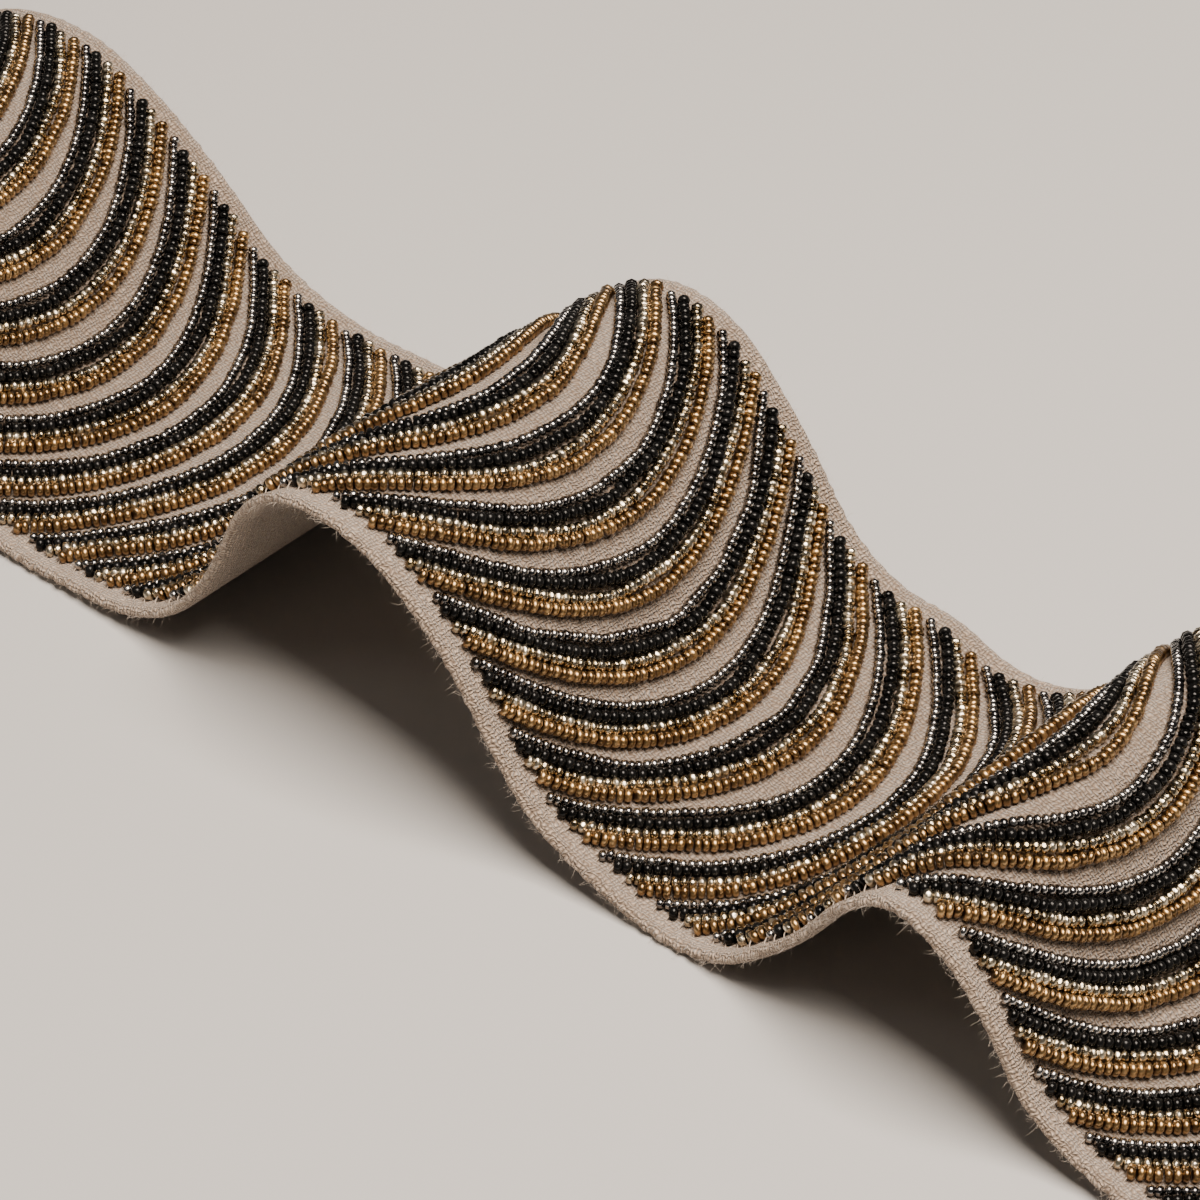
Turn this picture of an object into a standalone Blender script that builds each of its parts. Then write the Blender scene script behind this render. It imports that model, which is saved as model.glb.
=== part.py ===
"""Beaded tape: a woven tape with arched rows of beads sewn across it, standing in uneven waves.

The tape is drawn flat first. A place on it has three numbers: how far along it is, counted in
repeats of the bead rows, how far across, from 0 at the near ends of the rows to 1 at their far
ends, and how high above the underside of the cloth. Every point is then carried onto the waves.
X runs along the tape, Y across it, and the underside rests on Z = 0.
"""

import math
from collections import namedtuple

import bmesh
import bpy

MM = 0.001

# The tape, laid flat
REPEAT = 10.7 * MM
FIRST_REPEAT = -25
LAST_REPEAT = 15
START_CUT = -26.0
END_CUT = 17.1
BEADED_WIDTH = 67.6 * MM
NEAR_MARGIN = 4.2 * MM
FAR_MARGIN = 4.1 * MM
CLOTH = 1.1 * MM

# The bead rows of one repeat. A row starts and ends on the line of its repeat and arches forward
# between. Its offset from the gold row is in repeats, at mid-width and at the two ends.
Row = namedtuple("Row", "name middle ends height colour metallic roughness")
BEAD_ROWS = (
    Row("steel_beads", -0.55, -0.68, 1.6 * MM, (0.22, 0.22, 0.23), 1.0, 0.25),
    Row("black_beads", -0.37, -0.46, 1.9 * MM, (0.012, 0.012, 0.013), 0.0, 0.2),
    Row("crystal_beads", -0.19, -0.24, 1.75 * MM, (0.62, 0.58, 0.46), 0.6, 0.15),
    Row("gold_beads", 0.0, 0.0, 1.95 * MM, (0.55, 0.36, 0.17), 1.0, 0.25),
)
FOOT_MIDDLE = 0.09
FOOT_ENDS = 0.13
GROOVE = 0.8 * MM
LINEN = (0.47, 0.41, 0.34)

# How far a row arches forward at mid-width, in repeats, and how its shape differs from a parabola
ARCH = 1.77
ARCH_FULLNESS = -0.01
ARCH_LEAN = -0.03
ARCH_DRIFT = -0.01

# How far the foot of a row lies outside its end, and where across the tape its ridge has points
ROW_FOOT = 1.2 * MM
ROW_LINES = (0.01, 0.14, 0.31, 0.5, 0.69, 0.86, 0.99)

# The waves. At each place along the tape, in repeats: the slope of its near and far edge in degrees,
# and how far the middle of its width stands out, in millimetres. Between two places all turn evenly.
Bend = namedtuple("Bend", "place near far crown")
BENDS = (
    Bend(-26.0, 0, 0, 0.0),     # the start lies flat
    Bend(-24.4, 0, 0, 0.0),
    Bend(-22.0, 59, 61, 0.0),
    Bend(-20.0, 29, 25, 0.0),
    Bend(-18.0, -5, -4, 0.0),   # first crest
    Bend(-17.0, -28, -26, 0.0),
    Bend(-15.0, -42, -39, 0.2),
    Bend(-14.0, -43, -44, 0.8),
    Bend(-13.0, -20, -22, 1.6),
    Bend(-11.0, 5, 3, 1.2),     # first trough
    Bend(-10.0, 3, 2, 0.7),
    Bend(-8.0, 47, 42, 0.1),
    Bend(-7.0, 60, 53, 0.2),
    Bend(-6.0, 65, 60, 0.8),
    Bend(-5.0, 43, 46, 1.4),
    Bend(-4.0, 8, 13, 0.7),     # second crest, the highest
    Bend(-3.0, -16, -21, 0.2),
    Bend(-2.0, -38, -49, 0.0),
    Bend(-1.0, -49, -52, 0.0),
    Bend(0.0, -58, -59, 0.0),
    Bend(1.0, -50, -35, 0.2),
    Bend(2.0, -21, 0, 1.1),
    Bend(3.0, -18, -24, 0.6),   # second trough
    Bend(4.0, 6, 10, 0.1),
    Bend(5.0, 38, 33, 0.0),
    Bend(6.0, 46, 49, 0.2),
    Bend(7.0, 56, 59, 0.9),
    Bend(8.0, 35, 33, 2.1),
    Bend(9.0, -25, -37, 2.5),   # third crest
    Bend(10.0, -48, -60, 1.1),
    Bend(11.0, -63, -62, 1.2),
    Bend(12.0, -31, -23, 0.8),
    Bend(13.0, -12, -4, 0.2),
    Bend(14.0, 0, 0, 0.0),      # the end lies flat
    Bend(17.5, 0, 0, 0.0),
)
# The waves are given on the surface through the middles of the beads, this far above the underside.
BEAD_LEVEL = 2.1 * MM

# Where the far edge stands at place 0, seen from the near edge
FAR_EDGE_X = -0.7 * MM
FAR_EDGE_Z = -4.6 * MM
PATH_STEPS = 10

# The underside is pressed flat on the floor where it comes this near.
PRESSED_FLAT = 0.4 * MM

# Every third line is enough for the plain underside.
UNDERSIDE_STEP = 3


def between(low, high, share):
    return low + (high - low) * share


def hump(across):
    """0 at the ends of the bead rows and on the bare edges beyond them, 1 at mid-width."""
    return max(0.0, 4 * across * (1 - across))


def bend_at(place, column):
    """One column of BENDS at a place along the tape."""
    for one, following in zip(BENDS, BENDS[1:]):
        if place <= following.place:
            share = (place - one.place) / (following.place - one.place)
            return between(getattr(one, column), getattr(following, column), share)
    return getattr(BENDS[-1], column)


def edge_path(column, start_x, start_z):
    """Points (x, z, slope) along one edge, PATH_STEPS to a repeat, from BENDS' first place on."""
    first, last = BENDS[0].place, BENDS[-1].place
    step = REPEAT / PATH_STEPS
    x = z = 0.0
    points = []
    for number in range(int((last - first) * PATH_STEPS) + 1):
        slope = math.radians(bend_at(first + number / PATH_STEPS, column))
        if number:
            middle = (slope + points[-1][2]) / 2
            x += step * math.cos(middle)
            z += step * math.sin(middle)
        points.append((x, z, slope))
    zero_x, zero_z, _ = points[int(-first * PATH_STEPS)]
    return [(px - zero_x + start_x, pz - zero_z + start_z, slope) for px, pz, slope in points]


def along_path(path, place):
    """The point of an edge path at a place along the tape."""
    number = (place - BENDS[0].place) * PATH_STEPS
    low = min(max(int(number), 0), len(path) - 2)
    return [between(a, b, number - low) for a, b in zip(path[low], path[low + 1])]


NEAR_PATH = edge_path("near", 0.0, 0.0)
FAR_PATH = edge_path("far", FAR_EDGE_X, FAR_EDGE_Z)


def on_waves(place, across, height):
    """The point in space of a place on the tape; height is above the underside."""
    near = along_path(NEAR_PATH, place)
    far = along_path(FAR_PATH, place)
    x, z, slope = (between(a, b, across) for a, b in zip(near, far))
    out = height - BEAD_LEVEL + bend_at(place, "crown") * MM * hump(across)
    return x - out * math.sin(slope), across * BEADED_WIDTH, z + out * math.cos(slope)


def arch(across):
    """How far forward a bead row lies, in repeats, from the line where it starts."""
    rise = hump(across)
    return rise * (ARCH + ARCH_FULLNESS * rise + ARCH_LEAN * (2 * across - 1)) + ARCH_DRIFT * across


# A line across the tape: its place at mid-width and at the ends, how much of the arch it has, how
# high it stands above the cloth and which of the tape's materials lies between it and the next.
Line = namedtuple("Line", "middle ends bow height material")


def lines_of_a_repeat(number):
    """The lines of one repeat's four bead rows: foot, top and groove by turns, and foot again."""
    first, last = BEAD_ROWS[0], BEAD_ROWS[-1]
    lines = [Line(first.middle - FOOT_MIDDLE, first.ends - FOOT_ENDS, 1, 0.0, 1)]
    for kind, row in enumerate(BEAD_ROWS, 1):
        lines.append(Line(row.middle, row.ends, 1, row.height, kind))
        if row is not last:
            following = BEAD_ROWS[kind]
            groove = ((row.middle + following.middle) / 2, (row.ends + following.ends) / 2)
            lines.append(Line(*groove, 1, GROOVE, kind + 1))
    lines.append(Line(last.middle + FOOT_MIDDLE, last.ends + FOOT_ENDS, 1, 0.0, 0))
    return [line._replace(middle=number + line.middle, ends=number + line.ends) for line in lines]


def halfway(one, following):
    """A bare line between two others."""
    middle, ends, bow = ((a + b) / 2 for a, b in zip(one[:3], following[:3]))
    return Line(middle, ends, bow, 0.0, 0)


def lines_of_the_tape():
    """Every line across the tape, from one straight cut to the other, with bare cloth at each."""
    start, end = (Line(cut, cut, 0, 0.0, 0) for cut in (START_CUT, END_CUT))
    rows = []
    for number in range(FIRST_REPEAT, LAST_REPEAT + 1):
        rows += lines_of_a_repeat(number)
    before = halfway(start, rows[0])
    after = halfway(rows[-1], end)
    return [start, before, halfway(before, rows[0]), *rows, after, end]


def stops_across():
    """The places across the tape where a line has a point, and if the rows are raised there."""
    foot = ROW_FOOT / BEADED_WIDTH
    stops = [(-NEAR_MARGIN / BEADED_WIDTH, False), (-foot, False)]
    stops += [(across, True) for across in ROW_LINES]
    return stops + [(1 + foot, False), (1 + FAR_MARGIN / BEADED_WIDTH, False)]


def draw_line(mesh, line, bare, raised):
    """Adds the points of one line: bare is its height on the cloth, raised its height on the rows."""
    points = []
    for across, on_row in stops_across():
        place = between(line.ends, line.middle, hump(across)) + line.bow * arch(across)
        points.append(mesh.verts.new(on_waves(place, across, raised if on_row else bare)))
    return points


def fill(mesh, one, following, material=0):
    """Closes two neighbouring lines with faces, with the cloth showing at both ends."""
    for stop in range(len(one) - 1):
        corners = (one[stop], one[stop + 1], following[stop + 1], following[stop])
        at_edge = stop in (0, len(one) - 2)
        mesh.faces.new(corners).material_index = 0 if at_edge else material


def close_side(mesh, top, under, kept):
    """Closes one long side, where the top has more lines than the underside."""
    for number, (low, high) in enumerate(zip(kept, kept[1:])):
        for line in range(low, high):
            mesh.faces.new((under[number], top[line], top[line + 1]))
        mesh.faces.new((under[number], top[high], under[number + 1]))


def set_on_floor(mesh):
    """Rests the flat start on the floor with the lows pressed flat, and centres the tape."""
    floor = on_waves(START_CUT, 0.5, 0.0)[2]
    for vert in mesh.verts:
        vert.co.z -= floor
        if vert.co.z < PRESSED_FLAT:
            vert.co.z = 0.0
    for axis in (0, 1):
        values = [vert.co[axis] for vert in mesh.verts]
        middle = (min(values) + max(values)) / 2
        for vert in mesh.verts:
            vert.co[axis] -= middle


def material(name, colour, metallic, roughness):
    made = bpy.data.materials.new(name)
    made.use_nodes = True
    shader = made.node_tree.nodes["Principled BSDF"]
    shader.inputs["Base Color"].default_value = (*colour, 1.0)
    shader.inputs["Metallic"].default_value = metallic
    shader.inputs["Roughness"].default_value = roughness
    return made


def beaded_tape():
    mesh = bmesh.new()
    lines = lines_of_the_tape()
    top = [draw_line(mesh, line, CLOTH, CLOTH + line.height) for line in lines]
    for line, one, following in zip(lines, top, top[1:]):
        fill(mesh, one, following, line.material)

    kept = [*range(0, len(lines) - 1, UNDERSIDE_STEP), len(lines) - 1]
    under = [draw_line(mesh, lines[number], 0.0, 0.0) for number in kept]
    for one, following in zip(under, under[1:]):
        fill(mesh, one, following)

    for side in (0, -1):
        close_side(mesh, [line[side] for line in top], [line[side] for line in under], kept)
    for end in (0, -1):
        fill(mesh, top[end], under[end])

    set_on_floor(mesh)
    bmesh.ops.recalc_face_normals(mesh, faces=mesh.faces)
    if mesh.calc_volume(signed=True) < 0:
        bmesh.ops.reverse_faces(mesh, faces=mesh.faces)
    data = bpy.data.meshes.new("beaded_tape")
    mesh.to_mesh(data)
    mesh.free()
    data.materials.append(material("linen_tape", LINEN, 0.0, 0.9))
    for row in BEAD_ROWS:
        data.materials.append(material(row.name, row.colour, row.metallic, row.roughness))
    tape = bpy.data.objects.new("beaded_tape", data)
    bpy.context.scene.collection.objects.link(tape)
    return tape


for thing in list(bpy.data.objects):
    bpy.data.objects.remove(thing)
beaded_tape()
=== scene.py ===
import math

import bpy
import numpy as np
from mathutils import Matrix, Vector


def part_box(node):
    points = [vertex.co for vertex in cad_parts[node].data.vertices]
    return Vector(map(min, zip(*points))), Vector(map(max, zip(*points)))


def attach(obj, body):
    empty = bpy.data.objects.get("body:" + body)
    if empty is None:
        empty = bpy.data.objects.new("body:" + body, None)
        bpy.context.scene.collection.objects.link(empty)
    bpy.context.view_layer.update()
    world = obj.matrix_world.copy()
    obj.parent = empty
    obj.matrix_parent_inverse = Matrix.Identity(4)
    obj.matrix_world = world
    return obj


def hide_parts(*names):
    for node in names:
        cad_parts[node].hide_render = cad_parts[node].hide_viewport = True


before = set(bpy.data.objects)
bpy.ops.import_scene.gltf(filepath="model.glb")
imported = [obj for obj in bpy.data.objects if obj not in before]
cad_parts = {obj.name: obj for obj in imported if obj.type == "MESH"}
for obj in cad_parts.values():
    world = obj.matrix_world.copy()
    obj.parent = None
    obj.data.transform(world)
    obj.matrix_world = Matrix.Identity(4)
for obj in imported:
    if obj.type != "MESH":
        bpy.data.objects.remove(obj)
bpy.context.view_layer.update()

# %% [markdown]
# # A beaded tape
# The real thing is a band of thick, ribbed linen cloth. Across it run arched rows of small glass
# beads, four to a repeat: steel, black, crystal and gold, and then a crescent of bare cloth. The
# tape stands on its side in soft waves, so the same few rows are seen from many sides. The packed
# solid already has the waves and the rows as ridges. This script lays a finer cloth in its place
# and sews the single beads onto it.

CAD_NODE = "beaded_tape"
MM = 0.001


def triangles(piece):
    """How many triangles a mesh object has."""
    return sum(len(face.vertices) - 2 for face in piece.data.polygons)



# %% [markdown]
# ## The tape laid flat
# A place on the tape has three numbers: how far along, counted in repeats of the rows, how far
# across, from 0 where the rows start to 1 where they end, and how high above the underside. All
# shapes below are drawn flat in these numbers and carried onto the waves at the end, as a printed
# ribbon keeps its print when it is bent. The sizes are the solid's own.

# %% Sizes of the flat tape
REPEAT = 10.7 * MM
FIRST_REPEAT, LAST_REPEAT = -25, 15
START_CUT, END_CUT = -26.0, 17.1
BEADED_WIDTH = 67.6 * MM
NEAR_MARGIN, FAR_MARGIN = 4.2 * MM, 4.1 * MM
CLOTH = 1.1 * MM
BEAD_LEVEL = 2.1 * MM
PRESSED_FLAT = 0.4 * MM
tape_width = NEAR_MARGIN + BEADED_WIDTH + FAR_MARGIN
tape_length = (END_CUT - START_CUT) * REPEAT
print("flat tape in mm:", round(tape_width / MM, 1), "x", round(tape_length / MM, 1))

# %% [markdown]
# ## The waves
# Each line of this table is a place along the tape with the slope of its near and far edge in
# degrees, and how far the middle of its width stands out in millimetres. Between two lines the
# slope turns evenly, which is how a springy cloth bends. Adding up short steps along the slope
# gives the two edges, and a straight line from edge to edge gives the surface between them.

# %% Table of bends
BENDS = np.array([
    # place, near, far, crown
    (-26.0, 0, 0, 0.0),     # the start lies flat
    (-24.4, 0, 0, 0.0),
    (-22.0, 59, 61, 0.0),
    (-20.0, 29, 25, 0.0),
    (-18.0, -5, -4, 0.0),   # first crest
    (-17.0, -28, -26, 0.0),
    (-15.0, -42, -39, 0.2),
    (-14.0, -43, -44, 0.8),
    (-13.0, -20, -22, 1.6),
    (-11.0, 5, 3, 1.2),     # first trough
    (-10.0, 3, 2, 0.7),
    (-8.0, 47, 42, 0.1),
    (-7.0, 60, 53, 0.2),
    (-6.0, 65, 60, 0.8),
    (-5.0, 43, 46, 1.4),
    (-4.0, 8, 13, 0.7),     # second crest, the highest
    (-3.0, -16, -21, 0.2),
    (-2.0, -38, -49, 0.0),
    (-1.0, -49, -52, 0.0),
    (0.0, -58, -59, 0.0),
    (1.0, -50, -35, 0.2),
    (2.0, -21, 0, 1.1),
    (3.0, -18, -24, 0.6),   # second trough
    (4.0, 6, 10, 0.1),
    (5.0, 38, 33, 0.0),
    (6.0, 46, 49, 0.2),
    (7.0, 56, 59, 0.9),
    (8.0, 35, 33, 2.1),
    (9.0, -25, -37, 2.5),   # third crest
    (10.0, -48, -60, 1.1),
    (11.0, -63, -62, 1.2),
    (12.0, -31, -23, 0.8),
    (13.0, -12, -4, 0.2),
    (14.0, 0, 0, 0.0),      # the end lies flat
    (17.5, 0, 0, 0.0),
])
PLACE, NEAR, FAR, CROWN = range(4)
FAR_EDGE_X, FAR_EDGE_Z = -0.7 * MM, -4.6 * MM
PATH_STEPS = 10


def edge_path(column, start_x, start_z):
    """x, z and slope along one edge, as three rows of numbers."""
    first, last = BENDS[0, PLACE], BENDS[-1, PLACE]
    places = first + np.arange(int((last - first) * PATH_STEPS) + 1) / PATH_STEPS
    slopes = np.radians(np.interp(places, BENDS[:, PLACE], BENDS[:, column]))
    middles = (slopes[1:] + slopes[:-1]) / 2
    step = REPEAT / PATH_STEPS
    x = np.concatenate([[0], np.cumsum(step * np.cos(middles))])
    z = np.concatenate([[0], np.cumsum(step * np.sin(middles))])
    zero = int(-first * PATH_STEPS)
    return places, x - x[zero] + start_x, z - z[zero] + start_z, slopes


NEAR_PATH = edge_path(NEAR, 0.0, 0.0)
FAR_PATH = edge_path(FAR, FAR_EDGE_X, FAR_EDGE_Z)


def hump(across):
    """0 at the row ends and beyond them, 1 at mid-width."""
    return np.maximum(0.0, 4 * across * (1 - across))


def on_waves(place, across, height):
    """Points in space for places on the tape. All three may be arrays of one shape."""
    place, across, height = np.broadcast_arrays(place, across, height)
    near, far = (
        [np.interp(place, path[0], row) for row in path[1:]] for path in (NEAR_PATH, FAR_PATH)
    )
    x, z, slope = (a + (b - a) * across for a, b in zip(near, far))
    crown = np.interp(place, BENDS[:, PLACE], BENDS[:, CROWN]) * MM
    out = height - BEAD_LEVEL + crown * hump(across)
    return np.stack([x - out * np.sin(slope), across * BEADED_WIDTH, z + out * np.cos(slope)], axis=-1)


# %% [markdown]
# ## Into the shared frame
# The waves are drawn from a starting point of their own. The solid's box says where they stand in
# the frame that all pieces share. Its lowest parts lie flat on the floor, so the lowest points of
# the underside are pressed down to it.

# %% Where the waves stand in the frame
across_low, across_high = -NEAR_MARGIN / BEADED_WIDTH, 1 + FAR_MARGIN / BEADED_WIDTH
corners = on_waves(np.repeat([START_CUT, END_CUT], 2), np.array([across_low, across_high] * 2), 0.0)
own_middle = (corners.min(axis=0) + corners.max(axis=0)) / 2
solid_low, solid_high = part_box(CAD_NODE)
to_frame = np.array([
    (solid_low.x + solid_high.x) / 2 - own_middle[0],
    (solid_low.y + solid_high.y) / 2 - own_middle[1],
    solid_low.z - corners[0, 2],
])
print("shift from the waves' own origin in mm:", np.round(to_frame / MM, 2))


def in_frame(place, across, height):
    """Points in the frame, with the lowest of them pressed onto the floor as on the solid."""
    points = on_waves(place, across, height) + to_frame
    floor = solid_low.z
    underside = np.broadcast_to(height, points.shape[:-1]) <= 0
    pressed = underside & (points[..., 2] < floor + PRESSED_FLAT)
    points[..., 2] = np.where(pressed, floor, points[..., 2])
    return points


# %% [markdown]
# ## The camera
# A long lens a good way off keeps the near and far rows almost the same size, as in a product
# picture. The camera looks down on the tape at 38 degrees, across one of its corners, and leans
# over a little. It is made before the pieces.

# %% Camera
AZIMUTH, ELEVATION, ROLL = (math.radians(angle) for angle in (43.95, 38.31, -2.235))
IMAGE = 1200
FOCAL_PIXELS = 5270
DISTANCE = 67.36 * REPEAT
ORIGIN_PIXEL = (502.6, 708.7)
SENSOR = 36.0

back = Vector((
    math.sin(AZIMUTH) * math.cos(ELEVATION),
    -math.cos(AZIMUTH) * math.cos(ELEVATION),
    math.sin(ELEVATION),
))
level = Vector((math.cos(AZIMUTH), math.sin(AZIMUTH), 0))
upright = back.cross(level)
camera_right = level * math.cos(ROLL) + upright * math.sin(ROLL)
camera_up = upright * math.cos(ROLL) - level * math.sin(ROLL)
aside = -DISTANCE * (ORIGIN_PIXEL[0] - IMAGE / 2) / FOCAL_PIXELS
above = DISTANCE * (ORIGIN_PIXEL[1] - IMAGE / 2) / FOCAL_PIXELS

camera = bpy.data.objects.new("camera", bpy.data.cameras.new("camera"))
camera.data.lens = FOCAL_PIXELS / IMAGE * SENSOR
camera.data.sensor_width = SENSOR
camera.data.clip_start, camera.data.clip_end = 0.01, 20
turn = Matrix((camera_right, camera_up, back)).transposed().to_4x4()
camera.matrix_world = Matrix.Translation(
    Vector(to_frame) + camera_right * aside + camera_up * above + back * DISTANCE
) @ turn
bpy.context.scene.collection.objects.link(camera)
bpy.context.scene.camera = camera
print("lens", round(camera.data.lens, 1), "mm, distance", round(DISTANCE / MM), "mm")

# %% [markdown]
# ## The studio
# Gloss needs something to mirror. One large soft lamp hangs right over the tape, so that each bead
# carries one bright spot on its upper shoulder and the rest of it stays deep. A weaker one from
# the left opens the shadows. The room is almost dark, or it would grey the black beads.

# %% Lamps and room
WARM = (1.0, 0.87, 0.75)
ROOM_COLOUR, ROOM_STRENGTH = (0.9, 0.92, 0.95, 1), 0.05
LAMPS = {
    # toward (right, up and away), distance, size, power
    "key_lamp": ((0.21, 1.0, -0.2), 1.1, 0.65, 30),
    "left_lamp": ((-0.8, 0.9, -0.2), 1.5, 0.5, 0.8),
}


def lamp(name, toward, distance, size, power, colour):
    """A square soft lamp that looks at the middle of the tape. toward: right, up and away."""
    away = Vector((-math.sin(AZIMUTH), math.cos(AZIMUTH), 0))
    direction = (level * toward[0] + Vector((0, 0, 1)) * toward[1] + away * toward[2]).normalized()
    data = bpy.data.lights.new(name, "AREA")
    data.shape, data.size, data.energy, data.color = "SQUARE", size, power, colour
    made = bpy.data.objects.new(name, data)
    made.location = direction * distance
    made.rotation_mode = "QUATERNION"
    made.rotation_quaternion = direction.to_track_quat("Z", "Y")
    bpy.context.scene.collection.objects.link(made)


for name, (toward, distance, size, power) in LAMPS.items():
    lamp(name, toward, distance, size, power, WARM)

world = bpy.data.worlds.new("studio")
world.use_nodes = True
background = world.node_tree.nodes["Background"]
background.inputs["Color"].default_value = ROOM_COLOUR
background.inputs["Strength"].default_value = ROOM_STRENGTH
bpy.context.scene.world = world

# %% [markdown]
# ## Writing materials as sums
# A node tree is a formula, so it reads best as one. `Socket` wraps an output and turns Python's
# signs into Math nodes. `Nodes` adds any other node: its settings first, then its inputs.

# %% Helpers for node trees


class Socket:
    """An output in a node tree. Sums and products of sockets add Math nodes."""

    def __init__(self, nodes, output):
        self.nodes, self.output = nodes, output

    def math(self, operation, *values):
        return self.nodes.add("ShaderNodeMath", {"operation": operation}, dict(enumerate(values)))

    def __add__(self, other):
        return self.math("ADD", self, other)

    def __sub__(self, other):
        return self.math("SUBTRACT", self, other)

    def __rsub__(self, other):
        return self.math("SUBTRACT", other, self)

    def __mul__(self, other):
        return self.math("MULTIPLY", self, other)

    def __truediv__(self, other):
        return self.math("DIVIDE", self, other)

    __radd__, __rmul__ = __add__, __mul__


class Nodes:
    """One node tree, filled node by node."""

    def __init__(self, tree):
        self.tree = tree

    def add(self, kind, settings=None, inputs=None, output=0):
        node = self.tree.nodes.new(kind)
        for name, value in (settings or {}).items():
            setattr(node, name, value)
        for name, value in (inputs or {}).items():
            if isinstance(value, Socket):
                self.tree.links.new(value.output, node.inputs[name])
            else:
                node.inputs[name].default_value = value
        return Socket(self, node.outputs[output]) if node.outputs else node


def new_finish(name):
    """An empty material and the helper that fills it."""
    material = bpy.data.materials.new(name)
    material.use_nodes = True
    material.node_tree.nodes.clear()
    return material, Nodes(material.node_tree)


def mix_colour(nodes, share, one, other):
    return nodes.add("ShaderNodeMix", {"data_type": "RGBA"}, {0: share, 6: one, 7: other}, output=2)


def close_finish(nodes, inputs):
    """The shader and the output node."""
    shader = nodes.add("ShaderNodeBsdfPrincipled", None, inputs)
    nodes.add("ShaderNodeOutputMaterial", None, {"Surface": shader})


# %% [markdown]
# ## The floor
# A plain pale sheet, far larger than the view. It belongs to the picture and not to the tape.

# %% Floor
FLOOR_SIZE = 6.0
FLOOR_COLOUR = (0.56, 0.56, 0.555, 1)

floor_finish, nodes = new_finish("pale_floor")
close_finish(nodes, {"Base Color": FLOOR_COLOUR, "Roughness": 0.9})
half = FLOOR_SIZE / 2
floor_corners = [(-half, -half, 0), (half, -half, 0), (half, half, 0), (-half, half, 0)]
floor_data = bpy.data.meshes.new("floor")
floor_data.from_pydata(floor_corners, [], [(0, 1, 2, 3)])
floor_data.materials.append(floor_finish)
floor = bpy.data.objects.new("floor", floor_data)
bpy.context.scene.collection.objects.link(floor)

# %% [markdown]
# ## The cloth
# The cloth is thick and soft, with a round woven edge. A closed ring of points, drawn round the
# cross-section, is repeated along the tape. The top swells along both edges, and each point keeps
# its flat place, which the weave reads.

# %% Cloth mesh
ALONG_STEP = 1.2 * MM
EDGE_ROUNDING = 7
EDGE_REACH = 1.7 * MM
TOP_POINTS = 44
EDGE_SWELL = 0.75 * MM
EDGE_BAND = 2.8 * MM

along = np.linspace(START_CUT, END_CUT, int(tape_length / ALONG_STEP) + 1)
from_edge = np.linspace(0, 1, TOP_POINTS)
widths = across_low * BEADED_WIDTH + from_edge * tape_width


def edge_swell(width):
    """How much thicker the cloth is near its woven edges."""
    inside = np.minimum(width + NEAR_MARGIN, BEADED_WIDTH + FAR_MARGIN - width)
    return EDGE_SWELL * np.exp(-(inside / EDGE_BAND) ** 2)


top_height = CLOTH + edge_swell(widths)
round_angles = np.linspace(0, np.pi, EDGE_ROUNDING + 2)[1:-1]
inner = (widths > widths[0] + EDGE_REACH) & (widths < widths[-1] - EDGE_REACH)
top_w, top_h = widths[inner], top_height[inner]
half_thick = top_height[0] / 2
far_w = widths[-1] - EDGE_REACH * (1 - np.sin(round_angles))
near_w = widths[0] + EDGE_REACH * (1 - np.sin(round_angles))
round_h = half_thick * (1 + np.cos(round_angles))
ring_w = np.concatenate([top_w, far_w, top_w[::-1], near_w])
ring_h = np.concatenate([top_h, round_h, np.zeros(len(top_w)), round_h[::-1]])

LUMPS = ((0.11, 3.1), (0.09, 1.9), (0.07, 1.2))
edge_rng = np.random.default_rng(12)
lumps = np.zeros((2, len(along)))
for height, period in LUMPS:
    sway = np.cumsum(edge_rng.normal(0.0, 0.5, lumps.shape), axis=1)
    lumps += height * MM * np.sin(2 * np.pi * along * REPEAT / (period * MM) + sway)
print("edge lumps reach", round(abs(lumps).max() / MM, 2), "mm")

place_grid = np.repeat(along[:, None], len(ring_w), axis=1)
near_share = np.clip(1 - (ring_w - ring_w.min()) / EDGE_BAND, 0, 1)
far_share = np.clip(1 - (ring_w.max() - ring_w) / EDGE_BAND, 0, 1)
pushed = ring_w[None, :] - lumps[0][:, None] * near_share + lumps[1][:, None] * far_share
points = in_frame(place_grid, pushed / BEADED_WIDTH, ring_h[None, :])
count_along, count_round = place_grid.shape
index = np.arange(count_along * count_round).reshape(count_along, count_round)
following = np.roll(index, -1, axis=1)
sides = np.stack([index[:-1], index[1:], following[1:], following[:-1]], axis=-1).reshape(-1, 4)
cut_faces = [index[0].tolist(), index[-1][::-1].tolist()]

cloth_data = bpy.data.meshes.new("tape_cloth")
cloth_data.from_pydata(points.reshape(-1, 3).tolist(), [], sides.tolist() + cut_faces)
flat_place = np.stack(np.broadcast_arrays(place_grid * REPEAT, ring_w, ring_h), axis=-1)
attribute = cloth_data.attributes.new("flat_place", "FLOAT_VECTOR", "POINT")
attribute.data.foreach_set("vector", flat_place.astype(np.float32).ravel())
cloth_data.shade_smooth()
cloth_data.validate()
cloth = bpy.data.objects.new("tape_cloth", cloth_data)
bpy.context.scene.collection.objects.link(cloth)
print("cloth:", len(cloth_data.polygons), "faces")
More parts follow.
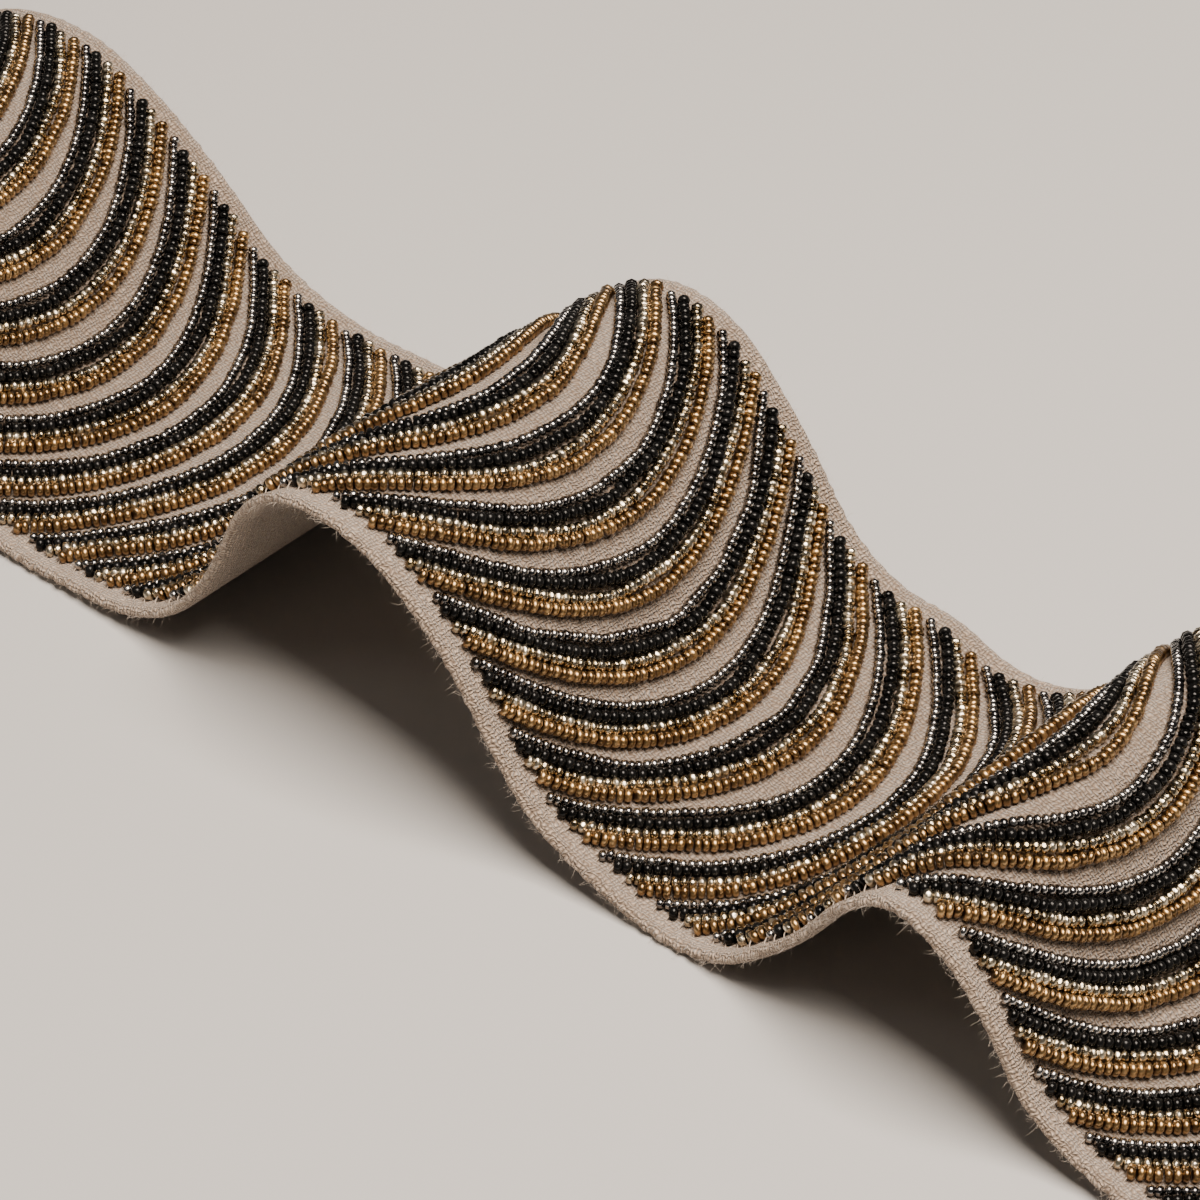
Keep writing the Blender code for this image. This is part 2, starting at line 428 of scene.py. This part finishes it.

# %% [markdown]
# ## The weave
# Thick plain weave: each thread goes over one and under the next, and the threads are uneven in
# thickness and tone. The pattern is two rows of humps, one for each direction, and at every
# crossing the higher one wins. It feeds the bump, and the hollows get painted shade.

# %% Cloth finish
THREAD_ALONG, THREAD_ACROSS = 0.62 * MM, 0.58 * MM
THREAD_ROUNDNESS = 0.9
THIN_THREAD, THICKER_BY = 0.35, 1.3
SLUB, KNOT = 1.3 * MM, 1.15 * MM
SLUB_SCALE, KNOT_SCALE, GRAIN_SCALE, BLOTCH_SCALE = 90.0, 800.0, 1500.0, 60.0
DARK_LINEN, LIGHT_LINEN = (0.49, 0.365, 0.265, 1), (0.95, 0.77, 0.605, 1)
BLOTCH_COLOUR, BLOTCH_DEPTH = (0.51, 0.405, 0.315, 1), 0.5
# Painted shade for the cloth among the rows of beads: its colour and share.
PAINTED_SHADE_COLOUR, PAINTED_SHADE_AMONG_ROWS = (0.20, 0.15, 0.11, 1), 0.3
# Painted shade in the hollows of the weave: its colour and how deep it goes.
HOLLOW_SHADE_COLOUR, HOLLOW_SHADE_DEPTH = (0.11, 0.07, 0.045, 1), 0.95
BUMP_DEPTH = 0.55 * MM

cloth_finish, nodes = new_finish("linen")
place = nodes.add("ShaderNodeAttribute", {"attribute_name": "flat_place"}, output=1)


def noise(scale, detail, output=0, **more):
    """A noise on the flat tape. output is 0 for one number and 1 for three."""
    inputs = {"Vector": place, "Scale": scale, "Detail": detail, **more}
    return nodes.add("ShaderNodeTexNoise", None, inputs, output=output)


def part(vector, axis):
    """One of the three numbers of a vector."""
    return nodes.add("ShaderNodeSeparateXYZ", None, {0: vector}, output=axis)


uneven = noise(GRAIN_SCALE, 2.0)
drift = noise(SLUB_SCALE, 3.0)
knots = noise(KNOT_SCALE, 1.0, output=1)
blotch = noise(BLOTCH_SCALE, 5.0, Roughness=0.7)
along_place = part(place, 0) + (drift - 0.5) * SLUB + (part(knots, 0) - 0.5) * KNOT
across_place = part(place, 1) + (drift - 0.5) * SLUB + (part(knots, 1) - 0.5) * KNOT
warp_wave = across_place.math("SINE", across_place * (math.pi / THREAD_ACROSS))
weft_wave = along_place.math("SINE", along_place * (math.pi / THREAD_ALONG))
over = 0.5 + 0.5 * (warp_wave * weft_wave)
warp_round = warp_wave.math("POWER", warp_wave.math("ABSOLUTE", warp_wave), THREAD_ROUNDNESS)
weft_round = weft_wave.math("POWER", weft_wave.math("ABSOLUTE", weft_wave), THREAD_ROUNDNESS)
weave = over.math("MAXIMUM", warp_round * over, weft_round * (1 - over))
weave = weave * (THIN_THREAD + THICKER_BY * uneven)
among_rows = (across_place.math("GREATER_THAN", across_place, 0.0)
              * across_place.math("LESS_THAN", across_place, BEADED_WIDTH))
linen = mix_colour(nodes, uneven, DARK_LINEN, LIGHT_LINEN)
linen = mix_colour(nodes, blotch * BLOTCH_DEPTH, linen, BLOTCH_COLOUR)
# Painted shade: the cloth among the rows of beads is darker, as the beads shade it.
linen = mix_colour(nodes, among_rows * PAINTED_SHADE_AMONG_ROWS, linen, PAINTED_SHADE_COLOUR)
# Painted shade: the hollows of the weave, where threads dip under each other, are darkened.
linen = mix_colour(nodes, (1 - weave) * HOLLOW_SHADE_DEPTH, linen, HOLLOW_SHADE_COLOUR)
bump = nodes.add("ShaderNodeBump", None, {"Height": weave, "Strength": 1.0, "Distance": BUMP_DEPTH})
close_finish(nodes, {"Base Color": linen, "Roughness": 0.95, "Normal": bump, "Sheen Weight": 0.3,
                     "Sheen Roughness": 0.5, "Specular IOR Level": 0.2})
cloth_data.materials.append(cloth_finish)
print("threads to the centimetre:", [round(10 * MM / pitch, 1) for pitch in (THREAD_ALONG, THREAD_ACROSS)])

# %% [markdown]
# ## One bead
# A seed bead is a short piece of drawn glass tube, tumbled in heat until its rims are round. Seen
# from the side it is a small barrel. Some eleven thousand are needed, so one has only seven or
# eight sides and five rings, and smooth shading rounds it. Its own place along the hole is kept on
# the points, because the finish paints shade where two beads meet.

# %% Bead mesh
BEAD_RINGS = ((-0.50, 0.52), (-0.36, 0.86), (0.0, 1.0), (0.36, 0.86), (0.50, 0.52))


def bead_mesh(name, width, length, sides):
    """A barrel along Z, width across and length long, closed at both ends."""
    verts, faces, place_along = [], [], []
    for ring_place, ring_radius in BEAD_RINGS:
        for side in range(sides):
            angle = 2 * math.pi * side / sides
            reach = ring_radius * width / 2
            verts.append((reach * math.cos(angle), reach * math.sin(angle), ring_place * length))
            place_along.append(ring_place * 2)
    for ring in range(len(BEAD_RINGS) - 1):
        for side in range(sides):
            low, beside = ring * sides + side, ring * sides + (side + 1) % sides
            faces.append((low, beside, beside + sides, low + sides))
    faces.append(tuple(reversed(range(sides))))
    faces.append(tuple(range(len(verts) - sides, len(verts))))
    data = bpy.data.meshes.new(name)
    data.from_pydata(verts, [], faces)
    data.shade_smooth()
    kept = data.attributes.new("bead_place", "FLOAT", "POINT")
    kept.data.foreach_set("value", place_along)
    made = bpy.data.objects.new(name, data)
    bpy.context.scene.collection.objects.link(made)
    return made


# %% [markdown]
# ## The tree that threads the beads
# Each row is a curve. The tree cuts it into as many steps as beads fit, moves each a little off
# the line, turns it along the row with a small tilt, and sets one bead there. It gives each bead
# a number of its own for the colour, and ends with real faces, since copies are lost on export.

# %% Geometry Nodes: beads on a thread
ASTRAY_SHARE, ASTRAY_TILT = 0.03, 4
THINNEST, THICKEST = 0.88, 1.1
BEAD_INPUTS = {
    "Rows": "Geometry", "Bead": "Object", "Finish": "Material", "Pitch": "Float", "Looseness": "Float",
    "Tilt": "Float", "Smallest": "Float", "Largest": "Float", "Seed": "Int",
}


def new_tree(name, inputs, output):
    """An empty Geometry Nodes tree, its helper and its named inputs."""
    tree = bpy.data.node_groups.new(name, "GeometryNodeTree")
    for socket_name, kind in inputs.items():
        tree.interface.new_socket(socket_name, in_out="INPUT", socket_type="NodeSocket" + kind)
    tree.interface.new_socket(output, in_out="OUTPUT", socket_type="NodeSocketGeometry")
    nodes = Nodes(tree)
    sockets = tree.nodes.new("NodeGroupInput").outputs
    return tree, nodes, {socket.name: Socket(nodes, socket) for socket in sockets}


def bead_tree():
    tree, nodes, given = new_tree("beads_on_a_thread", BEAD_INPUTS, "Beads")
    row_length = nodes.add("GeometryNodeSplineLength")
    steps = nodes.add("ShaderNodeMath", {"operation": "ROUND"}, {0: row_length / given["Pitch"]})
    stepped = nodes.add("GeometryNodeResampleCurve", {"mode": "COUNT"},
                        {"Curve": given["Rows"], "Count": steps + 1})
    tangent = nodes.add("GeometryNodeInputTangent")
    kept = nodes.add("GeometryNodeStoreNamedAttribute", {"data_type": "FLOAT_VECTOR", "domain": "POINT"},
                     {"Geometry": stepped, "Name": "row_way", "Value": tangent})
    dots = nodes.add("GeometryNodeCurveToPoints", {"mode": "EVALUATED"}, {"Curve": kept})

    def random_vector(reach, salt):
        low = nodes.add("ShaderNodeCombineXYZ", None, {0: reach * -1, 1: reach * -1, 2: reach * -1})
        high = nodes.add("ShaderNodeCombineXYZ", None, {0: reach, 1: reach, 2: reach})
        return nodes.add("FunctionNodeRandomValue", {"data_type": "FLOAT_VECTOR"},
                         {"Min": low, "Max": high, "Seed": given["Seed"] + salt})

    shaken = nodes.add("GeometryNodeSetPosition", None,
                       {"Geometry": dots, "Offset": random_vector(given["Looseness"], 1)})
    way = nodes.add("GeometryNodeInputNamedAttribute", {"data_type": "FLOAT_VECTOR"}, {"Name": "row_way"})
    facing = nodes.add("FunctionNodeAlignRotationToVector", {"axis": "Z"}, {"Vector": way})
    astray = nodes.add("FunctionNodeRandomValue", {"data_type": "BOOLEAN"},
                       {"Probability": ASTRAY_SHARE, "Seed": given["Seed"] + 6}, output=3)
    lean = random_vector(given["Tilt"] * (1 + astray * ASTRAY_TILT), 2)
    lean = nodes.add("FunctionNodeEulerToRotation", None, {0: lean})
    turned = nodes.add("FunctionNodeRotateRotation", {"rotation_space": "LOCAL"}, {0: facing, 1: lean})
    size = nodes.add("FunctionNodeRandomValue", {"data_type": "FLOAT"},
                     {2: given["Smallest"], 3: given["Largest"], "Seed": given["Seed"] + 3}, output=1)
    thickness = nodes.add("FunctionNodeRandomValue", {"data_type": "FLOAT"},
                          {2: THINNEST, 3: THICKEST, "Seed": given["Seed"] + 4}, output=1)
    scale = nodes.add("ShaderNodeCombineXYZ", None, {0: size, 1: size, 2: thickness})
    bead = nodes.add("GeometryNodeObjectInfo", None, {"Object": given["Bead"]})
    bead = Socket(nodes, bead.output.node.outputs["Geometry"])
    copies = nodes.add("GeometryNodeInstanceOnPoints", None,
                       {"Points": shaken, "Instance": bead, "Rotation": turned, "Scale": scale})
    tint = nodes.add("FunctionNodeRandomValue", {"data_type": "FLOAT"},
                     {"Seed": given["Seed"] + 5}, output=1)
    tinted = nodes.add("GeometryNodeStoreNamedAttribute", {"data_type": "FLOAT", "domain": "INSTANCE"},
                       {"Geometry": copies, "Name": "bead_tint", "Value": tint})
    solid = nodes.add("GeometryNodeRealizeInstances", None, {"Geometry": tinted})
    done = nodes.add("GeometryNodeSetMaterial", None, {"Geometry": solid, "Material": given["Finish"]})
    nodes.add("NodeGroupOutput", None, {"Beads": done})
    return tree


def run_tree(tree, carrier, name, **values):
    """Runs a tree on a carrier object and returns the result as a plain mesh object."""
    modifier = carrier.modifiers.new(tree.name, "NODES")
    modifier.node_group = tree
    for socket in tree.interface.items_tree:
        if socket.name in values:
            modifier[socket.identifier] = values[socket.name]
    bpy.context.view_layer.update()
    evaluated = carrier.evaluated_get(bpy.context.evaluated_depsgraph_get())
    data = bpy.data.meshes.new_from_object(evaluated)
    data.name = name
    made = bpy.data.objects.new(name, data)
    bpy.context.scene.collection.objects.link(made)
    bpy.data.objects.remove(carrier)
    return made


bead_nodes = bead_tree()

# %% [markdown]
# ## The rows
# A row starts on the line of its repeat, arches forward, and comes back at the other side. Its
# neighbours in the repeat lie behind it, closer at mid-width than at the ends. Sewn by hand, no
# row is quite smooth: each wanders a little and starts and stops a little early or late.

# %% Shape of a row
ARCH, ARCH_FULLNESS, ARCH_LEAN, ARCH_DRIFT = 1.77, -0.01, -0.03, -0.01
ROW_POINTS = 90
WANDER = 0.16 * MM
UNEVEN_END = 0.35 * MM
rng = np.random.default_rng(41)


def arch(across):
    """How far forward a row lies, in repeats, from the line where it starts."""
    rise = hump(across)
    return rise * (ARCH + ARCH_FULLNESS * rise + ARCH_LEAN * (2 * across - 1)) + ARCH_DRIFT * across


def wander(share, reach):
    """A smooth, small, random wave along a row."""
    total = np.zeros_like(share)
    for waves in (1.5, 3.1, 5.7):
        total += np.sin(2 * np.pi * (waves * share + rng.random())) * rng.normal() / waves ** 0.5
    return total * reach


def row_curves(name, middle, near_end, far_end, height):
    """One curve object that holds every row of a kind."""
    data = bpy.data.curves.new(name, "CURVE")
    data.dimensions = "3D"
    for number in range(FIRST_REPEAT, LAST_REPEAT + 1):
        start, stop = np.array([0, 1]) + rng.uniform(-UNEVEN_END, UNEVEN_END, 2) / BEADED_WIDTH
        across = np.linspace(start, stop, ROW_POINTS)
        share = np.linspace(0, 1, ROW_POINTS)
        ends = near_end + (far_end - near_end) * share
        offset = ends + (middle - ends) * hump(across)
        place = number + offset + arch(across) + wander(share, WANDER) / REPEAT
        row = in_frame(place, across, height)
        spline = data.splines.new("POLY")
        spline.points.add(ROW_POINTS - 1)
        spline.points.foreach_set("co", np.column_stack([row, np.ones(ROW_POINTS)]).ravel())
    made = bpy.data.objects.new(name, data)
    bpy.context.scene.collection.objects.link(made)
    return made


# %% [markdown]
# ## Finishes of the glass
# Steel and gold beads are glass with a baked metal coat, so they shine like metal. Black is
# plain glass. Crystal is clear glass with a silvered, square hole: it flashes in small windows and
# is olive between them. In each, the colour differs from bead to bead, and the rims get painted
# shade where two beads meet.

# %% Bead finishes
# How the painted shade at the bead rims grows towards the ends, and how deep it gets.
RIM_SHADE_SHARPNESS, RIM_SHADE_DEPTH = 4.0, 0.85
SHINE_SPREAD = 0.08
FLATS_SCALE, FLATS_DEPTH = 1700.0, 0.2 * MM


def bead_finish(name, dark, light, rim_shade, metallic, roughness, coat=0.0, coat_blur=0.05, gloss=0.5,
                facets=0.0):
    """A glass finish. The rim colour is painted shade where two beads meet. facets is the depth of the
    flats that make crystal sparkle.
    """
    material, nodes = new_finish(name)
    tint = nodes.add("ShaderNodeAttribute", {"attribute_name": "bead_tint"}, output=2)
    place = nodes.add("ShaderNodeAttribute", {"attribute_name": "bead_place"}, output=2)
    toward_rim = place.math("ABSOLUTE", place)
    shade = mix_colour(nodes, tint, dark, light)
    # Painted shade: the colour darkens towards both rims, where two beads meet.
    shade = mix_colour(nodes, toward_rim.math("POWER", toward_rim, RIM_SHADE_SHARPNESS) * RIM_SHADE_DEPTH, shade, rim_shade)
    shader = {"Base Color": shade, "Metallic": metallic,
              "Roughness": (roughness - SHINE_SPREAD / 2) + tint * SHINE_SPREAD,
              "Coat Weight": coat, "Coat Roughness": coat_blur, "Specular IOR Level": gloss}
    if facets:
        coords = nodes.add("ShaderNodeTexCoord", output=3)
        flats = nodes.add("ShaderNodeTexVoronoi", None, {"Vector": coords, "Scale": FLATS_SCALE})
        shader["Normal"] = nodes.add("ShaderNodeBump", None,
                                     {"Height": flats, "Strength": facets, "Distance": FLATS_DEPTH})
    close_finish(nodes, shader)
    return material


finishes = {
    "steel_beads": bead_finish("steel_glass", (0.20, 0.19, 0.19, 1), (0.60, 0.58, 0.56, 1),
                               (0.01, 0.01, 0.01, 1), 1.0, 0.2),
    "black_beads": bead_finish("black_glass", (0.002, 0.002, 0.002, 1), (0.007, 0.007, 0.007, 1),
                               (0.001, 0.001, 0.001, 1), 0.0, 0.2, gloss=0.22),
    "crystal_beads": bead_finish("crystal_glass", (0.22, 0.165, 0.08, 1), (0.88, 0.79, 0.61, 1),
                                 (0.14, 0.095, 0.04, 1), 1.0, 0.26, coat=1.0, facets=0.55),
    "gold_beads": bead_finish("gold_glass", (0.24, 0.135, 0.045, 1), (0.60, 0.385, 0.165, 1),
                              (0.03, 0.012, 0.003, 1), 1.0, 0.33, coat=0.8, coat_blur=0.22),
}

# %% [markdown]
# ## Sewing
# Each kind has its place in the repeat, its own bead and its own pitch along the thread. All rows
# of a kind go through the tree together and come back as one mesh, with slightly loose, tilted
# and uneven beads, as a needle leaves them.

# %% Beads sewn in rows
SEWN_HEIGHT = 0.48
LOOSENESS, TILT = 0.08 * MM, math.radians(8)
SMALLEST, LARGEST = 0.9, 1.06
ROWS = {
    # middle, near end, far end, bead width, bead length, pitch, sides
    "steel_beads": (-0.55, -0.68, -0.68, 1.75 * MM, 1.1 * MM, 1.13 * MM, 7),
    "black_beads": (-0.37, -0.46, -0.44, 2.1 * MM, 1.33 * MM, 1.36 * MM, 8),
    "crystal_beads": (-0.18, -0.24, -0.21, 2.0 * MM, 1.2 * MM, 1.24 * MM, 7),
    "gold_beads": (0.0, 0.0, 0.05, 2.15 * MM, 1.14 * MM, 1.18 * MM, 7),
}
beads = {}
for seed, (kind, (middle, near_end, far_end, width, length, pitch, sides)) in enumerate(ROWS.items()):
    bead = bead_mesh(kind + "_one", width, length, sides)
    rows = row_curves(kind + "_rows", middle, near_end, far_end, CLOTH + width * SEWN_HEIGHT)
    beads[kind] = run_tree(
        bead_nodes, rows, kind, Bead=bead, Finish=finishes[kind], Pitch=pitch, Looseness=LOOSENESS,
        Tilt=TILT, Smallest=SMALLEST, Largest=LARGEST, Seed=seed * 10,
    )
    bpy.data.objects.remove(bead)
    print(kind, "triangles:", triangles(beads[kind]))

# %% [markdown]
# ## Fuzz
# Linen is spun from short fibres, and their ends stand out, most of all along the two edges. One
# fibre is a thin bent tube. A second tree sets copies of it on points that were drawn at random:
# it turns each outwards, lets it lean any way and gives it its own length.

# %% One fibre
FIBRE_LENGTH = 1.5 * MM
FIBRE_WIDTH = 0.035 * MM
FIBRE_TAPER = 0.6
FIBRE_SIDES = 3
FIBRE_BENDS = ((0.0, 0.0), (0.10, 0.38), (0.34, 0.70), (0.66, 0.92))
fibre_verts, fibre_faces = [], []
for ring, (sideways, up) in enumerate(FIBRE_BENDS):
    thin = FIBRE_WIDTH / 2 * (1 - FIBRE_TAPER * ring / (len(FIBRE_BENDS) - 1))
    for side in range(FIBRE_SIDES):
        angle = 2 * math.pi * side / FIBRE_SIDES
        bent = sideways * FIBRE_LENGTH + thin * math.cos(angle)
        fibre_verts.append((bent, thin * math.sin(angle), up * FIBRE_LENGTH))
        if ring:
            below = (ring - 1) * FIBRE_SIDES
            low, beside = below + side, below + (side + 1) % FIBRE_SIDES
            fibre_faces.append((low, beside, beside + FIBRE_SIDES, low + FIBRE_SIDES))
fibre_faces += [(2, 1, 0), tuple(range(len(fibre_verts) - FIBRE_SIDES, len(fibre_verts)))]
fibre_data = bpy.data.meshes.new("fibre")
fibre_data.from_pydata(fibre_verts, [], fibre_faces)
fibre_data.shade_smooth()
fibre = bpy.data.objects.new("fibre", fibre_data)
bpy.context.scene.collection.objects.link(fibre)

# %% [markdown]
# Most fibres grow from the round of the two edges, and a few from the upper face beside the rows.
# Each root keeps the way out of the cloth at its place, so that the tree knows where to point it.

# %% Where fibres grow
EDGE_FIBRES = 2400
FACE_FIBRES = 700
EDGE_STRIP, EDGE_HEIGHT = 0.5 * MM, 0.7 * MM
FACE_STRIP, FACE_HEIGHT = 0.3 * MM, 1.3 * MM


def fibre_roots(count, width_from, width_to, height, outward):
    """Random points on the tape and the way out of the cloth there. outward: across, up."""
    places = rng.uniform(START_CUT, END_CUT, count)
    widths = rng.uniform(width_from, width_to, count) / BEADED_WIDTH
    roots = in_frame(places, widths, height)
    tips = in_frame(places, widths + outward[0] * MM / BEADED_WIDTH, height + outward[1] * MM)
    return roots, tips - roots


near_edge, far_edge = widths[0], widths[-1]
swarms = [
    fibre_roots(EDGE_FIBRES, near_edge, near_edge + EDGE_STRIP, EDGE_HEIGHT, (-1.0, 0.35)),
    fibre_roots(EDGE_FIBRES, far_edge - EDGE_STRIP, far_edge, EDGE_HEIGHT, (1.0, 0.35)),
    fibre_roots(FACE_FIBRES // 2, near_edge + FACE_STRIP, 0.0, FACE_HEIGHT, (-0.6, 1.0)),
    fibre_roots(FACE_FIBRES // 2, BEADED_WIDTH, far_edge - FACE_STRIP, FACE_HEIGHT, (0.6, 1.0)),
]
root_data = bpy.data.meshes.new("fibre_roots")
root_data.from_pydata(np.concatenate([roots for roots, _ in swarms]).tolist(), [], [])
ways = root_data.attributes.new("way_out", "FLOAT_VECTOR", "POINT")
ways.data.foreach_set("vector", np.concatenate([way for _, way in swarms]).astype(np.float32).ravel())
root_object = bpy.data.objects.new("fibre_roots", root_data)
bpy.context.scene.collection.objects.link(root_object)
print("fibres:", len(root_data.vertices))

# %% [markdown]
# The tree is built like the one for the beads: it faces each fibre outwards, lets it lean by up to
# the spread, turns its bend any way, and sizes it between the shortest and the longest. A fibre
# that would reach through the floor is stopped just above it.

# %% Geometry Nodes: fibres on points
LEAST_BEND = 0.25
FIBRE_INPUTS = {
    "Roots": "Geometry", "Fibre": "Object", "Finish": "Material", "Spread": "Float",
    "Shortest": "Float", "Longest": "Float", "Seed": "Int",
}


def fibre_tree():
    tree, nodes, given = new_tree("fibres_on_points", FIBRE_INPUTS, "Fuzz")
    way = nodes.add("GeometryNodeInputNamedAttribute", {"data_type": "FLOAT_VECTOR"}, {"Name": "way_out"})
    facing = nodes.add("FunctionNodeAlignRotationToVector", {"axis": "Z"}, {"Vector": way})
    low = nodes.add("ShaderNodeCombineXYZ", None,
                    {0: given["Spread"] * -1, 1: given["Spread"] * -1, 2: -math.pi})
    high = nodes.add("ShaderNodeCombineXYZ", None, {0: given["Spread"], 1: given["Spread"], 2: math.pi})
    lean = nodes.add("FunctionNodeRandomValue", {"data_type": "FLOAT_VECTOR"},
                     {"Min": low, "Max": high, "Seed": given["Seed"]})
    lean = nodes.add("FunctionNodeEulerToRotation", None, {0: lean})
    turned = nodes.add("FunctionNodeRotateRotation", {"rotation_space": "LOCAL"}, {0: facing, 1: lean})
    size = nodes.add("FunctionNodeRandomValue", {"data_type": "FLOAT"},
                     {2: given["Shortest"], 3: given["Longest"], "Seed": given["Seed"] + 1}, output=1)
    bend = nodes.add("FunctionNodeRandomValue", {"data_type": "FLOAT"},
                     {2: -1.0, 3: 1.0, "Seed": given["Seed"] + 2}, output=1)
    bend = bend.math("MAXIMUM", bend * size, LEAST_BEND)
    scale = nodes.add("ShaderNodeCombineXYZ", None, {0: bend, 1: 1.0, 2: size})
    one = nodes.add("GeometryNodeObjectInfo", None, {"Object": given["Fibre"]})
    one = Socket(nodes, one.output.node.outputs["Geometry"])
    copies = nodes.add("GeometryNodeInstanceOnPoints", None,
                       {"Points": given["Roots"], "Instance": one, "Rotation": turned, "Scale": scale})
    solid = nodes.add("GeometryNodeRealizeInstances", None, {"Geometry": copies})
    done = nodes.add("GeometryNodeSetMaterial", None, {"Geometry": solid, "Material": given["Finish"]})
    nodes.add("NodeGroupOutput", None, {"Fuzz": done})
    return tree


fibre_finish, nodes = new_finish("fibre")
coords = nodes.add("ShaderNodeTexCoord", output=3)
fade = nodes.add("ShaderNodeTexNoise", None, {"Vector": coords, "Scale": 40.0})
close_finish(nodes, {"Base Color": mix_colour(nodes, fade, (0.55, 0.46, 0.38, 1), (0.82, 0.74, 0.66, 1)),
                     "Roughness": 0.8, "Specular IOR Level": 0.2})
fuzz = run_tree(
    fibre_tree(), root_object, "edge_fuzz", Fibre=fibre, Finish=fibre_finish,
    Spread=math.radians(65), Shortest=0.2, Longest=1.4, Seed=7,
)
bpy.data.objects.remove(fibre)
for vertex in fuzz.data.vertices:
    vertex.co.z = max(vertex.co.z, solid_low.z + FIBRE_WIDTH)
print("fuzz triangles:", triangles(fuzz))

# %% [markdown]
# ## Thread at the row ends
# Each row hangs on one sewing thread, which dives into the cloth past the last bead at either end.
# It is drawn as a short thin tube from inside that bead down through the cloth's face.

# %% Thread ends
THREAD_WIDTH = 0.2 * MM
THREAD_REACH = 1.7 * MM
THREAD_PATH = ((-0.4, 1.0), (0.25, 0.95), (0.6, 0.6), (0.85, 0.1), (1.0, -0.4))

thread_data = bpy.data.curves.new("thread_ends", "CURVE")
thread_data.dimensions = "3D"
thread_data.bevel_depth = THREAD_WIDTH / 2
thread_data.bevel_resolution = 0
for kind, (middle, near_end, far_end, width, *_) in ROWS.items():
    for number in range(FIRST_REPEAT, LAST_REPEAT + 1):
        for edge, outward, ends in ((0.0, -1, near_end), (1.0, 1, far_end)):
            share, lift = np.array(THREAD_PATH).T
            across = edge + outward * share * THREAD_REACH / BEADED_WIDTH
            path = in_frame(number + ends + arch(edge), across, CLOTH + lift * width * SEWN_HEIGHT)
            spline = thread_data.splines.new("POLY")
            spline.points.add(len(path) - 1)
            spline.points.foreach_set("co", np.column_stack([path, np.ones(len(path))]).ravel())
thread_curve = bpy.data.objects.new("thread_curve", thread_data)
bpy.context.scene.collection.objects.link(thread_curve)
bpy.context.view_layer.update()
drawn = thread_curve.evaluated_get(bpy.context.evaluated_depsgraph_get())
threads = bpy.data.objects.new("thread_ends", bpy.data.meshes.new_from_object(drawn))
bpy.context.scene.collection.objects.link(threads)
bpy.data.objects.remove(thread_curve)
thread_finish, nodes = new_finish("sewing_thread")
coords = nodes.add("ShaderNodeTexCoord", output=3)
ply = nodes.add("ShaderNodeTexNoise", None, {"Vector": coords, "Scale": 3000.0})
close_finish(nodes, {"Base Color": mix_colour(nodes, ply, (0.40, 0.32, 0.25, 1), (0.66, 0.56, 0.46, 1)),
                     "Roughness": 0.7})
threads.data.materials.append(thread_finish)
print("thread triangles:", triangles(threads))

# %% [markdown]
# ## Tying the pieces to the solid
# Nothing on the tape turns or slides, so every piece rides on the root. The cloth takes the packed
# solid's place, and the beads, threads and fibres go with it.

# %% Everything rides on the root, and the cloth stands for the solid
for piece in (cloth, fuzz, threads, *beads.values()):
    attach(piece, "root")
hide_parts(CAD_NODE)
